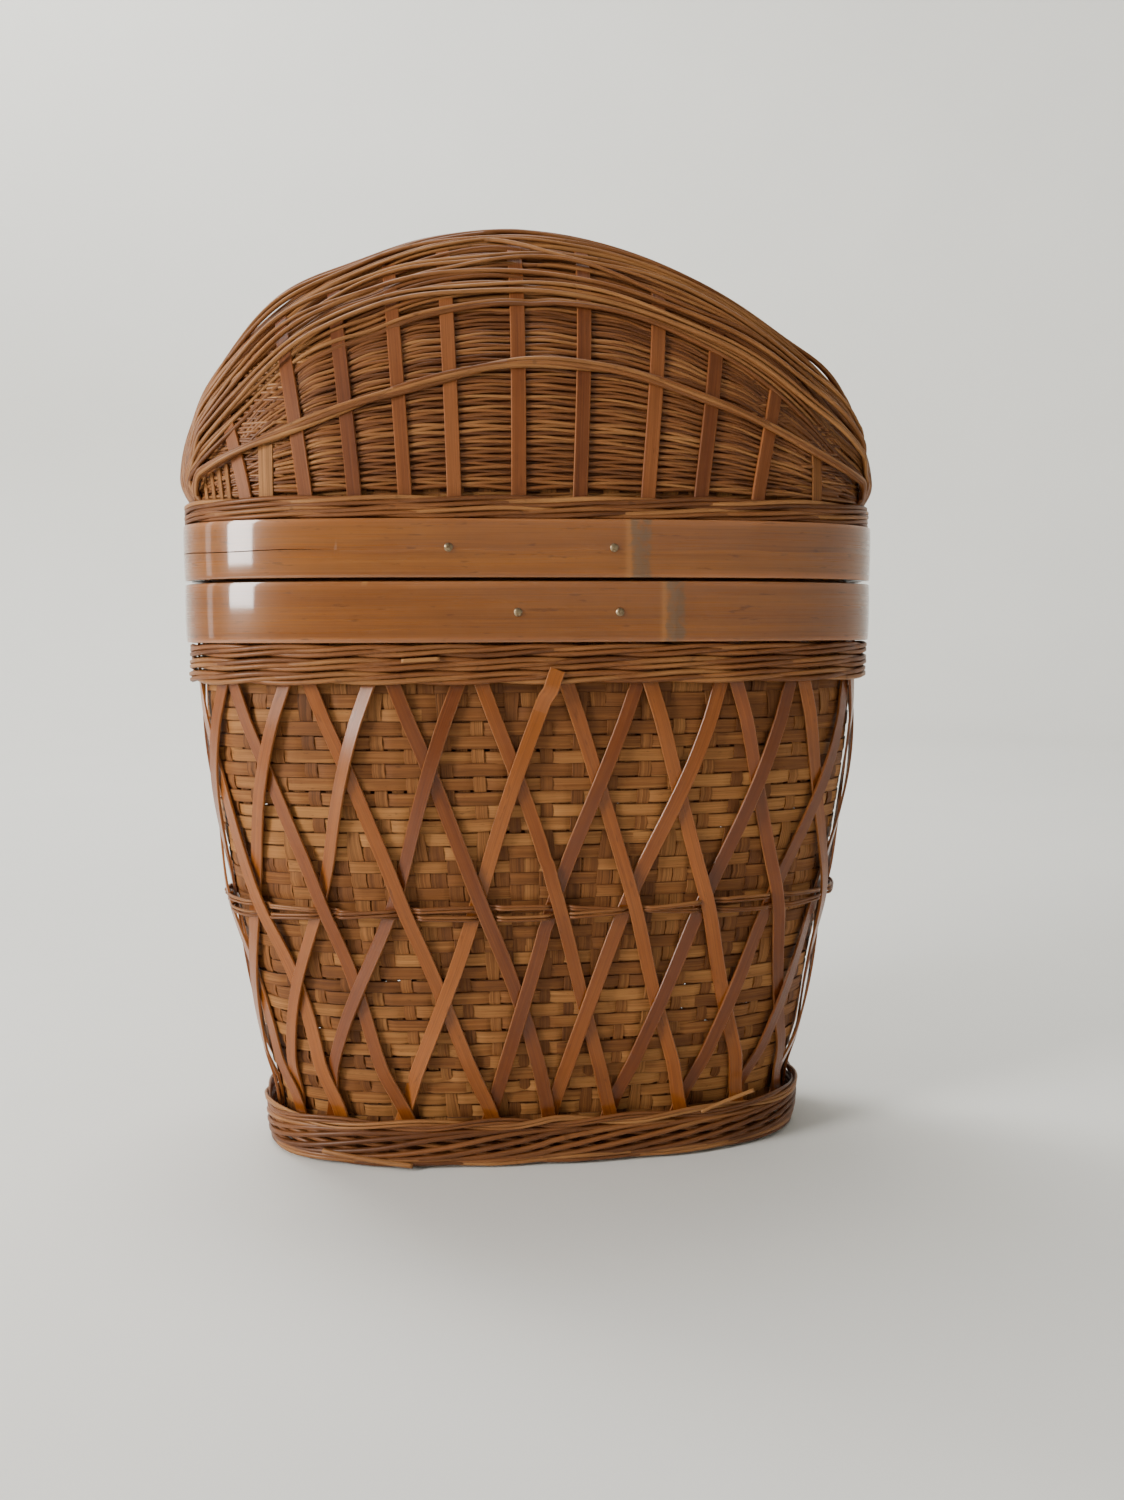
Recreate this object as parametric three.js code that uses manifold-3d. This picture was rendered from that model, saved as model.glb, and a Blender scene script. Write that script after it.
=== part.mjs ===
// A small lidded wicker basket, oblong in plan, in millimetres, +Z up.
// The origin is the middle of the footprint, on the surface that the basket stands on.
// +X runs to the right along the long side, and -Y is the front.
// Every layer is set by its inset: its distance inside the outer face of the two rim hoops.
import * as THREE from 'three';
import { mergeVertices } from 'three/addons/utils/BufferGeometryUtils.js';
import Module from 'manifold-3d';

const wasm = await Module();
wasm.setup();

// ---- driving dimensions ----
const rimHalfWidth = 145;
const rimHalfDepth = 70;
const rimPower = 3.0; // how square the plan's corners are: 2 would be an ellipse
const footPower = 2.6;
const footHalfWidth = 116.3; // outer face of the lattice at the foot
const footHalfDepth = 52.2;
const taperTop = 185; // the wall stands straight above this height
const tuckDepth = 3.4; // the lattice and wall step in behind the foot weft
const tuckLow = 22;
const tuckHigh = 45;
const gap = 0.3;

const foot = { low: 0, high: 20, proud: 1.0, thick: 3.4 };
const waist = { low: 104.5, high: 111.5, thick: 2.2 };
const shoulder = { low: 199, high: 214.6, outer: 0.8, inner: 3.4 };
const bodyHoop = { low: 215, high: 238, outer: 0, inner: 3.2 };
const collar = { low: 212, high: 249, outer: 10.5, inner: 13.5 };
const wall = { low: 3, high: 237.6, inset: 7.9, thick: 2.1 };
const base = { low: 4, high: 6.5, inset: 10.4 };

const lidHoop = { low: 239.9, high: 261.8, outer: 0, inner: 3.2 };
const lidLiner = { low: 240.2, high: 261.4, outer: 8.2, inner: 9.7 };
const skirt = { low: 262.2, high: 270, outer: 0.6, inner: 3.4 };
const domeBase = 271; // the dome springs from here
const domeInset = 0.7;
const endRise = 12; // height of the dome's upright ends above domeBase
const domeHeight = 115;
const apexShift = -8; // the crown sits a little to the left
const archPower = 1.8;
const crownPower = 2.2;
const lidWeave = { low: 240.2, inset: 5.7, thick: 1.5 }; // insets here are from the dome
const rib = { inset: 3.1, thick: 1.4, width: 5.5, low: 240.6, fan: 0.1 };
const band = { inner: 4.0, width: 6, angle: 24 };
const ridge = { inner: 3.9, angle: 41 }; // from this angle above the front to the same at the back

const strips = 22; // in each direction round the basket
const strip = { width: 5.6, thick: 1.6, low: 3, high: 234 };
const stripInset = 3.8;
const underInset = 5.7;
const stripDrift = 2.42; // how many strip pitches a strip moves sideways over its height
const stripTop = 197; // the height at which strip number 0 of each direction is placed
const underPhase = 0.26; // in strip pitches

const ribPlaces = [-117, -93, -74, -54.5, -35.5, -10.5, 13.5, 40.5, 62, 86, 117];
const bodyNails = [-11.4, 27.8];
const lidNails = [-37.5, 25.5];
const nail = { headRadius: 1.65, headRise: 0.7, shankRadius: 0.7, holeRadius: 1.1, sides: 12 };

const ringSides = 52;

// ---- colours ----
const caneColour = 0x9c5a2a;
const stripColour = 0xa8602c;
const hoopColour = 0xb06a30;
const splitColour = 0xc09060;
const brassColour = 0xa08858;

function material(colour, roughness, metalness = 0) {
  return new THREE.MeshStandardMaterial({ color: colour, roughness, metalness });
}

// ---- plan and profile ----
function smooth(low, high, value) {
  const t = THREE.MathUtils.clamp((value - low) / (high - low), 0, 1);
  return t * t * (3 - 2 * t);
}

// 0 at the foot, 1 where the wall stands straight
function flare(z) {
  const t = THREE.MathUtils.clamp(z / taperTop, 0, 1);
  return (t + smooth(0, 1, t)) / 2;
}

function tuck(z) {
  return tuckDepth * (1 - smooth(tuckLow, tuckHigh, z));
}

// half-width, half-depth and corner power of the basket at a height, for a layer at an inset
function outline(z, inset) {
  const f = flare(z);
  const lean = inset - stripInset;
  return {
    a: THREE.MathUtils.lerp(footHalfWidth, rimHalfWidth - stripInset, f) - lean,
    b: THREE.MathUtils.lerp(footHalfDepth, rimHalfDepth - stripInset, f) - lean,
    power: THREE.MathUtils.lerp(footPower, rimPower, f),
  };
}

// the heights where a wall or strip bends, between its two ends
function bendLevels(low, high) {
  const steps = 9;
  const rise = (high - tuckHigh) / steps;
  const above = Array.from({ length: steps }, (_, i) => high - i * rise).toReversed();
  return [low, (low + tuckLow) / 2, tuckLow, (tuckLow + tuckHigh) / 2, tuckHigh, ...above];
}

function signedPower(value, power) {
  return Math.sign(value) * Math.abs(value) ** power;
}

function planPoint({ a, b, power }, turn, z) {
  const x = a * signedPower(Math.cos(turn), 2 / power);
  const y = b * signedPower(Math.sin(turn), 2 / power);
  return new THREE.Vector3(x, y, z);
}

// Measures the rim once: its length, and the turn at a share of the way round it, which
// starts at the front's middle and goes towards +X.
function measureRim() {
  const samples = 1440;
  const rim = { a: rimHalfWidth, b: rimHalfDepth, power: rimPower };
  const lengths = [0];
  const turnOf = (i) => (2 * Math.PI * i) / samples - Math.PI / 2;
  for (let i = 1; i <= samples; i++) {
    const from = planPoint(rim, turnOf(i - 1), 0);
    lengths.push(lengths[i - 1] + from.distanceTo(planPoint(rim, turnOf(i), 0)));
  }
  const perimeter = lengths[samples];
  const turnAt = (share) => {
    const wanted = (((share % 1) + 1) % 1) * perimeter;
    const i = Math.max(1, lengths.findIndex((length) => length >= wanted));
    return turnOf(i - (lengths[i] - wanted) / (lengths[i] - lengths[i - 1]));
  };
  return { perimeter, turnAt };
}
const { perimeter, turnAt } = measureRim();

// ---- closed meshes ----
function closedGeometry(points, triangles) {
  const geometry = new THREE.BufferGeometry();
  const flat = points.flatMap((p) => [p.x, p.y, p.z]);
  geometry.setAttribute('position', new THREE.Float32BufferAttribute(flat, 3));
  geometry.setIndex(triangles);
  return geometry;
}

function addQuad(triangles, p, q, r, s) {
  triangles.push(p, q, r, p, r, s);
}

// Sections are loops of the same number of points. A ring joins its last section to its
// first, and any other body gets a flat cap at each end.
function loft(sections, isRing) {
  const count = sections[0].length;
  const triangles = [];
  const last = isRing ? sections.length : sections.length - 1;
  for (let i = 0; i < last; i++) {
    const here = i * count;
    const next = ((i + 1) % sections.length) * count;
    for (let j = 0; j < count; j++) {
      const k = (j + 1) % count;
      addQuad(triangles, here + j, next + j, next + k, here + k);
    }
  }
  if (!isRing) {
    const end = (sections.length - 1) * count;
    for (let j = 0; 2 * j + 3 < count; j++) {
      addQuad(triangles, j, j + 1, count - 2 - j, count - 1 - j);
      addQuad(triangles, end + count - 1 - j, end + count - 2 - j, end + j + 1, end + j);
    }
  }
  return closedGeometry(sections.flat(), triangles);
}

// a ring round the basket: profile lists [inset, z] round its section
function planRing(profile) {
  const sections = [];
  for (let i = 0; i < ringSides; i++) {
    const turn = (2 * Math.PI * i) / ringSides;
    sections.push(profile.map(([inset, z]) => planPoint(outline(z, inset), turn, z)));
  }
  return loft(sections, true);
}

function squareRing({ low, high, outer, inner }) {
  return planRing([[outer, low], [outer, high], [inner, high], [inner, low]]);
}

function toManifold(geometry) {
  const bare = geometry.clone();
  bare.deleteAttribute('normal');
  bare.deleteAttribute('uv');
  const merged = mergeVertices(bare, 1e-4);
  return new wasm.Manifold(new wasm.Mesh({
    numProp: 3,
    vertProperties: new Float32Array(merged.attributes.position.array),
    triVerts: new Uint32Array(merged.index.array),
  }));
}

function fromManifold(solid) {
  const { vertProperties, triVerts } = solid.getMesh();
  const geometry = new THREE.BufferGeometry();
  geometry.setAttribute('position', new THREE.Float32BufferAttribute(vertProperties, 3));
  geometry.setIndex([...triVerts]);
  return geometry;
}

// ---- basket ----
function wallWeave() {
  const levels = bendLevels(wall.low, wall.high).filter((z, i) => i < 5 || i % 2 === 1);
  const insetAt = (z) => wall.inset + tuck(z);
  const profile = [
    ...levels.map((z) => [insetAt(z), z]),
    ...levels.toReversed().map((z) => [insetAt(z) + wall.thick, z]),
  ];
  return planRing(profile);
}

function basePanel() {
  const inset = base.inset + tuckDepth;
  const levels = [base.high, base.low].map((z) => {
    const loop = [];
    for (let i = 0; i < ringSides; i++) {
      loop.push(planPoint(outline(z, inset), (2 * Math.PI * (i + 0.5)) / ringSides, z));
    }
    return loop;
  });
  return loft(levels, false);
}

function footWeft() {
  const outer = stripInset - foot.proud;
  const inner = outer + foot.thick;
  return squareRing({ ...foot, outer, inner });
}

function waistWeft() {
  const inner = stripInset - gap;
  return squareRing({ ...waist, outer: inner - waist.thick, inner });
}

// A flat strip that leans as it climbs. lean is +1 or -1, and phase is in strip pitches.
function latticeStrip(index, lean, phase, inset) {
  return loft(bendLevels(strip.low, strip.high).map((z) => {
    const drift = (lean * stripDrift * (z - stripTop)) / (strip.high - strip.low);
    const middle = (index + phase + drift) / strips;
    const narrowing = outline(z, 0).a / rimHalfWidth;
    const half = strip.width / 2 / (perimeter * narrowing);
    const corner = (side, depth) => planPoint(
      outline(z, inset + tuck(z) + depth), turnAt(middle + side * half), z,
    );
    const inside = [corner(-1, strip.thick), corner(1, strip.thick)];
    return [...inside, corner(1, 0), corner(-1, 0)];
  }), false);
}

// ---- lid ----
// The dome's surface is set by a share from -1 at the left end to 1 at the right end, and
// by an angle from 0 at the front, over 90 at the crown, to 180 at the back.
function domeShape(share, depth) {
  const a = rimHalfWidth - domeInset - depth;
  const b = rimHalfDepth - domeInset - depth;
  const x = a * share + apexShift * (1 - share ** 2);
  const rise = (1 - Math.abs(share) ** archPower) ** (1 / archPower);
  return {
    x,
    halfDepth: b * Math.max(0, 1 - Math.abs(x / a) ** rimPower) ** (1 / rimPower),
    height: endRise + (domeHeight - endRise - depth) * rise,
  };
}

function domePoint(share, angle, depth) {
  const { x, halfDepth, height } = domeShape(share, depth);
  const turn = THREE.MathUtils.degToRad(angle);
  const y = -halfDepth * signedPower(Math.cos(turn), 2 / crownPower);
  const z = domeBase + height * Math.abs(Math.sin(turn)) ** (2 / crownPower);
  return new THREE.Vector3(x, y, z);
}

function shareAt(x) {
  const a = rimHalfWidth - domeInset;
  return (x - apexShift * (1 - (x / a) ** 2)) / a;
}

// a level loop round the dome, or round its upright skirt below domeBase
function domeLoop(z, depth) {
  const climb = Math.max(0, z - domeBase);
  const fullRise = domeHeight - endRise - depth;
  const aboveEnds = Math.max(0, climb - endRise) / fullRise;
  const reach = (1 - aboveEnds ** archPower) ** (1 / archPower);
  const loop = [];
  for (let i = 0; i < ringSides; i++) {
    const turn = (2 * Math.PI * i) / ringSides;
    const share = reach * signedPower(Math.cos(turn), 2 / rimPower);
    const { x, halfDepth, height } = domeShape(share, depth);
    const left = Math.max(0, 1 - (climb / height) ** crownPower) ** (1 / crownPower);
    loop.push(new THREE.Vector3(x, Math.sign(Math.sin(turn)) * halfDepth * left, z));
  }
  return loop;
}

// the closed shell of the dome: up its outside, and down its inside
function lidWeaveShell() {
  const climbs = [0, 0.12, 0.28, 0.46, 0.64, 0.8, 0.92, 0.98];
  const loopsAt = (depth) => [lidWeave.low].concat(
    climbs.map((share) => domeBase + share * (domeHeight - depth)),
  ).map((z) => domeLoop(z, depth));
  const outside = loopsAt(lidWeave.inset);
  const insideDepth = lidWeave.inset + lidWeave.thick;
  const inside = loopsAt(insideDepth);
  const crown = (depth) => new THREE.Vector3(apexShift, 0, domeBase + domeHeight - depth);
  const loops = [...outside.toReversed(), ...inside];
  const triangles = [];
  for (let i = 0; i + 1 < loops.length; i++) {
    for (let j = 0; j < ringSides; j++) {
      const k = (j + 1) % ringSides;
      const [here, next] = [i * ringSides, (i + 1) * ringSides];
      addQuad(triangles, here + j, next + j, next + k, here + k);
    }
  }
  const points = loops.flat();
  const outerCrown = points.push(crown(lidWeave.inset)) - 1;
  const innerCrown = points.push(crown(insideDepth)) - 1;
  const lastLoop = (loops.length - 1) * ringSides;
  for (let j = 0; j < ringSides; j++) {
    const k = (j + 1) % ringSides;
    triangles.push(outerCrown, j, k, innerCrown, lastLoop + k, lastLoop + j);
  }
  return closedGeometry(points, triangles);
}

function anglesBetween(low, high, steps) {
  return Array.from({ length: steps + 1 }, (_, i) => THREE.MathUtils.lerp(low, high, i / steps));
}

// a rib that springs from inside the hoop, goes over the crown and down to the hoop again
function lidRib(x) {
  const half = rib.width / 2 / rimHalfWidth;
  const { inset, thick } = rib;
  const corners = (angle, z) => {
    const middle = shareAt(x) * (1 + rib.fan * Math.sin(THREE.MathUtils.degToRad(angle)));
    const corner = (side, depth) => {
      const point = domePoint(middle + side * half, angle, depth);
      if (z !== undefined) point.z = z;
      return point;
    };
    const inside = [corner(-1, inset + thick), corner(1, inset + thick)];
    return [...inside, corner(1, inset), corner(-1, inset)];
  };
  const front = [0, 7, 16, 28];
  const back = front.map((angle) => 180 - angle).toReversed();
  const arch = [...front, ...anglesBetween(ridge.angle, 180 - ridge.angle, 6), ...back];
  return loft([corners(0, rib.low), ...arch.map((angle) => corners(angle)),
    corners(180, rib.low)], false);
}

// a patch of the dome between two angles, as thick as the canes that it stands for
function lidBand(lowAngle, highAngle, inner, steps) {
  const reach = 0.975;
  const stations = 18;
  const sections = [];
  for (let i = 0; i <= stations; i++) {
    const share = reach * Math.sin((Math.PI / 2) * ((2 * i) / stations - 1));
    const arc = (depth) => anglesBetween(lowAngle, highAngle, steps)
      .map((angle) => domePoint(share, angle, depth));
    sections.push([...arc(0), ...arc(inner).toReversed()]);
  }
  return loft(sections, false);
}

function lidRibCage() {
  const [low, high] = [band.angle - band.width / 4, band.angle + band.width / 4];
  const parts = [
    lidBand(low, high, band.inner, 1),
    lidBand(180 - high, 180 - low, band.inner, 1),
    lidBand(ridge.angle, 180 - ridge.angle, ridge.inner, 6),
    ...ribPlaces.map(lidRib),
  ];
  return fromManifold(parts.map(toManifold).reduce((whole, next) => whole.add(next)));
}

// ---- hoops and nails ----
function hoopFace(x) {
  return rimHalfDepth * (1 - Math.abs(x / rimHalfWidth) ** rimPower) ** (1 / rimPower);
}

function hoop(shape, nailPlaces) {
  const middle = (shape.low + shape.high) / 2;
  const drilled = nailPlaces.reduce((solid, x) => {
    const drill = new THREE.CylinderGeometry(nail.holeRadius, nail.holeRadius, 12, nail.sides);
    return solid.subtract(toManifold(drill.translate(x, -hoopFace(x), middle)));
  }, toManifold(squareRing(shape)));
  return fromManifold(drilled);
}

// a round-headed nail whose head points to -Y
function nailGeometry() {
  const { headRadius, headRise, shankRadius, sides } = nail;
  const profile = [
    [0, -bodyHoop.inner], [shankRadius, -bodyHoop.inner], [shankRadius, 0],
    [headRadius, 0], [headRadius * 0.75, headRise * 0.7], [0, headRise],
  ].map(([r, y]) => new THREE.Vector2(r, y));
  return new THREE.LatheGeometry(profile, sides).rotateZ(Math.PI);
}

// ---- assembly ----
function addMesh(group, name, geometry, look) {
  geometry.computeVertexNormals();
  const mesh = new THREE.Mesh(geometry, look);
  mesh.name = name;
  group.add(mesh);
  return mesh;
}

function addNails(group, prefix, places, z) {
  places.forEach((x, i) => {
    const look = material(brassColour, 0.35, 1);
    const mesh = addMesh(group, `${prefix}_nail_${i + 1}`, nailGeometry(), look);
    mesh.position.set(x, -hoopFace(x) - 0.1, z);
  });
}

function makeBasket() {
  const basket = new THREE.Group();
  addMesh(basket, 'base_panel', basePanel(), material(splitColour, 0.7));
  addMesh(basket, 'wall_weave', wallWeave(), material(splitColour, 0.65));
  addMesh(basket, 'foot_weft', footWeft(), material(caneColour, 0.55));
  addMesh(basket, 'waist_weft', waistWeft(), material(caneColour, 0.55));
  addMesh(basket, 'shoulder_weft', squareRing(shoulder), material(caneColour, 0.55));
  addMesh(basket, 'body_hoop', hoop(bodyHoop, bodyNails), material(hoopColour, 0.3));
  addMesh(basket, 'rim_collar', squareRing(collar), material(splitColour, 0.5));
  addNails(basket, 'body', bodyNails, (bodyHoop.low + bodyHoop.high) / 2);
  for (let i = 0; i < strips; i++) {
    const number = String(i + 1).padStart(2, '0');
    const over = latticeStrip(i, 1, 0, stripInset);
    const under = latticeStrip(i, -1, underPhase, underInset);
    addMesh(basket, `lattice_right_${number}`, over, material(stripColour, 0.35));
    addMesh(basket, `lattice_left_${number}`, under, material(stripColour, 0.35));
  }
  return basket;
}

function makeLid() {
  const lid = new THREE.Group();
  addMesh(lid, 'lid_hoop', hoop(lidHoop, lidNails), material(hoopColour, 0.3));
  addMesh(lid, 'lid_liner_hoop', squareRing(lidLiner), material(splitColour, 0.5));
  addMesh(lid, 'lid_skirt_weft', squareRing(skirt), material(caneColour, 0.55));
  addMesh(lid, 'lid_weave', lidWeaveShell(), material(caneColour, 0.6));
  addMesh(lid, 'lid_rib_cage', lidRibCage(), material(stripColour, 0.45));
  addNails(lid, 'lid', lidNails, (lidHoop.low + lidHoop.high) / 2);
  return lid;
}

const hamper = new THREE.Group();
hamper.add(makeBasket(), makeLid());

export default hamper;
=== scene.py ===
"""The looks of a small lidded wicker basket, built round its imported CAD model.

Lengths in this script are in millimetres, and MM turns them into Blender's metres.
A layer's inset is its distance inside the outer face of the two rim hoops.
"""
import math

import bpy
import numpy as np
from mathutils import Matrix, Vector


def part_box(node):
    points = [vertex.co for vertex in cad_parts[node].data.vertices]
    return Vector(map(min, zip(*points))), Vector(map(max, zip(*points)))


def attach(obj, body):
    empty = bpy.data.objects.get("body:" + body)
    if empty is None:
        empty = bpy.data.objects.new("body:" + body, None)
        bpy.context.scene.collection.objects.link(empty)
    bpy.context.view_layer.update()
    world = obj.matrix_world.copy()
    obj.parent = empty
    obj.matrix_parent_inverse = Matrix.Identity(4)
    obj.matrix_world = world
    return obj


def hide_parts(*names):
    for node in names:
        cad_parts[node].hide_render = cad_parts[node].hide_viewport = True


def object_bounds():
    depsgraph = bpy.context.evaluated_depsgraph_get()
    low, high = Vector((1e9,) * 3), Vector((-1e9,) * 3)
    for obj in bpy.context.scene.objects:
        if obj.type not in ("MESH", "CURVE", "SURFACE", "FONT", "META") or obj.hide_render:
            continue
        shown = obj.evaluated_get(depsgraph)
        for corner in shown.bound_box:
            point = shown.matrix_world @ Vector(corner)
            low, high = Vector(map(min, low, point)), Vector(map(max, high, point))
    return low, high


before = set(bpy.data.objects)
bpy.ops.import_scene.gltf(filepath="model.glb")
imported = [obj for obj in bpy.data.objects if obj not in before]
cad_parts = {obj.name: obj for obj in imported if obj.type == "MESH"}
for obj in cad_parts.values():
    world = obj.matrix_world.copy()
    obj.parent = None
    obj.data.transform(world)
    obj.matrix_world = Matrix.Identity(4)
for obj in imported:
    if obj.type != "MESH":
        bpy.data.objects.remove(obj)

MM = 0.001
cad_box = [list(corner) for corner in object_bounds()]


# ---------------------------------------------------------------- sizes from the frame
def box_mm(node):
    low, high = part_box(node)
    return np.array(low) / MM, np.array(high) / MM


rim_low, rim_high = box_mm("body_hoop")
lid_hoop_low, lid_hoop_high = box_mm("lid_hoop")
shoulder_low, shoulder_high = box_mm("shoulder_weft")
skirt_low, skirt_high = box_mm("lid_skirt_weft")
waist_low, waist_high = box_mm("waist_weft")
collar_low, collar_high = box_mm("rim_collar")
liner_low, liner_high = box_mm("lid_liner_hoop")
crown_z = cad_box[1][2] / MM

RIM_HALF_WIDTH, RIM_HALF_DEPTH, RIM_POWER = rim_high[0], rim_high[1], 3.0
FOOT_HALF_WIDTH, FOOT_HALF_DEPTH, FOOT_POWER = 116.3, 52.2, 2.6
STRIP_INSET = 3.8
TAPER_TOP = 185.0
TUCK_DEPTH, TUCK_LOW, TUCK_HIGH = 3.4, 22.0, 45.0
WALL_INSET = 8.95  # middle of the wall's two layers

DOME_BASE = skirt_high[2] + 1.0
DOME_INSET = 0.7
DOME_HEIGHT = crown_z - DOME_BASE
END_RISE = 12.0
APEX_SHIFT = -8.0
ARCH_POWER, CROWN_POWER = 1.8, 2.2

# the lattice
STRIPS = 22
STRIP_DRIFT = 2.42 / 231  # strip pitches sideways for each millimetre of height
STRIP_ZERO = 197.0
UNDER_PHASE = 0.26
CROSSING_PITCH = 1 / (2 * STRIP_DRIFT)
FIRST_CROSSING = STRIP_ZERO - (1 - UNDER_PHASE) * CROSSING_PITCH

RIB_PLACES = (-117, -93, -74, -54.5, -35.5, -10.5, 13.5, 40.5, 62, 86, 117)


# ---------------------------------------------------------------- shape of the basket
def smooth(low, high, value):
    t = np.clip((value - low) / (high - low), 0, 1)
    return t * t * (3 - 2 * t)


def mix(a, b, t):
    return a + (b - a) * t


def bell(value, middle, width, power=2):
    """1 at the middle, falling away to nothing over about a width on both sides."""
    return np.exp(-np.abs((value - middle) / width) ** power)


def signed_power(value, power):
    return np.sign(value) * np.abs(value) ** power


def outline(z, inset):
    """Half-width, half-depth and corner power of the basket's plan at a height."""
    t = np.clip(z / TAPER_TOP, 0, 1)
    flare = (t + smooth(0, 1, t)) / 2
    lean = inset - STRIP_INSET
    a = mix(FOOT_HALF_WIDTH, RIM_HALF_WIDTH - STRIP_INSET, flare) - lean
    b = mix(FOOT_HALF_DEPTH, RIM_HALF_DEPTH - STRIP_INSET, flare) - lean
    return a, b, mix(FOOT_POWER, RIM_POWER, flare)


def tuck(z):
    """How far the lattice and the wall step in behind the foot weft."""
    return TUCK_DEPTH * (1 - smooth(TUCK_LOW, TUCK_HIGH, z))


def plan(turn, a, b, power):
    x = a * signed_power(np.cos(turn), 2 / power)
    y = b * signed_power(np.sin(turn), 2 / power)
    return x, y


def measure_rim(samples=2880):
    """The rim's length, and the turn at each share of the way round it from the front."""
    turns = np.linspace(-math.pi / 2, 1.5 * math.pi, samples + 1)
    x, y = plan(turns, RIM_HALF_WIDTH, RIM_HALF_DEPTH, RIM_POWER)
    lengths = np.concatenate([[0], np.cumsum(np.hypot(np.diff(x), np.diff(y)))])
    return lengths[-1], lengths / lengths[-1], turns


PERIMETER, SHARES, TURNS = measure_rim()


def body_point(share, z, inset):
    share, z, inset = np.broadcast_arrays(share, z, inset)
    turn = np.interp(share % 1, SHARES, TURNS)
    x, y = plan(turn, *outline(z, inset))
    return np.stack([x, y, z], -1)


def unit(vectors):
    length = np.linalg.norm(vectors, axis=-1, keepdims=True)
    return vectors / np.maximum(length, 1e-9)


def lengths_along(path):
    return np.concatenate([[0], np.cumsum(np.linalg.norm(np.diff(path, axis=0), axis=1))])


def evenly(path, count):
    """The same path, with points the same distance apart."""
    length = lengths_along(path)
    even = np.linspace(0, length[-1], count)
    return np.stack([np.interp(even, length, path[:, axis]) for axis in range(3)], -1)


def mirrored(path, normals, side):
    """A lid strand on the front where side is 1, and on the back where it is -1."""
    flip = np.array([1, side, 1])
    return path * flip, normals * flip


def body_normal(share, z):
    step = 1e-3
    round_ = body_point(share + step, z, 5) - body_point(share - step, z, 5)
    up = body_point(share, z + 1, 5) - body_point(share, z - 1, 5)
    return unit(np.cross(round_, up))


# The dome's surface is set by a share from -1 at the left end to 1 at the right, and by an
# angle from 0 at the front, over 90 at the crown, to 180 at the back.
def dome_shape(share, depth):
    a = RIM_HALF_WIDTH - DOME_INSET - depth
    b = RIM_HALF_DEPTH - DOME_INSET - depth
    x = a * share + APEX_SHIFT * (1 - share**2)
    rise = np.clip(1 - np.abs(share) ** ARCH_POWER, 0, 1) ** (1 / ARCH_POWER)
    half_depth = b * np.clip(1 - np.abs(x / a) ** RIM_POWER, 0, 1) ** (1 / RIM_POWER)
    return x, half_depth, END_RISE + (DOME_HEIGHT - END_RISE - depth) * rise


def dome_point(share, angle, depth):
    share, angle, depth = np.broadcast_arrays(share, angle, depth)
    x, half_depth, height = dome_shape(share, depth)
    turn = np.radians(angle)
    y = -half_depth * signed_power(np.cos(turn), 2 / CROWN_POWER)
    z = DOME_BASE + height * signed_power(np.sin(turn), 2 / CROWN_POWER)
    return np.stack([x, y, z], -1)


def dome_normal(share, angle):
    across = dome_point(share + 2e-3, angle, 3) - dome_point(share - 2e-3, angle, 3)
    up = dome_point(share, angle + 0.5, 3) - dome_point(share, angle - 0.5, 3)
    return unit(np.cross(across, up))


def share_at(x):
    a = RIM_HALF_WIDTH - DOME_INSET
    return (x - APEX_SHIFT * (1 - (x / a) ** 2)) / a


# ---------------------------------------------------------------- strands and pieces
def round_section(radius, sides=6):
    turns = np.arange(sides) * 2 * math.pi / sides
    across = np.linspace(-1, 1, sides, endpoint=False)
    return radius * np.stack([np.cos(turns), np.sin(turns)], -1), across, 180


def flat_section(width, thick, chamfer=0.22):
    """A flat strip with softened outer edges, as a loop of six points."""
    w, t, c = width / 2, thick / 2, chamfer * thick
    loop = [(w, -t), (w, t - c), (w - c, t), (c - w, t), (-w, t - c), (-w, -t)]
    return np.array(loop), np.array([1, 1, 0.85, -0.85, -1, -1.0]), 30


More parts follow.
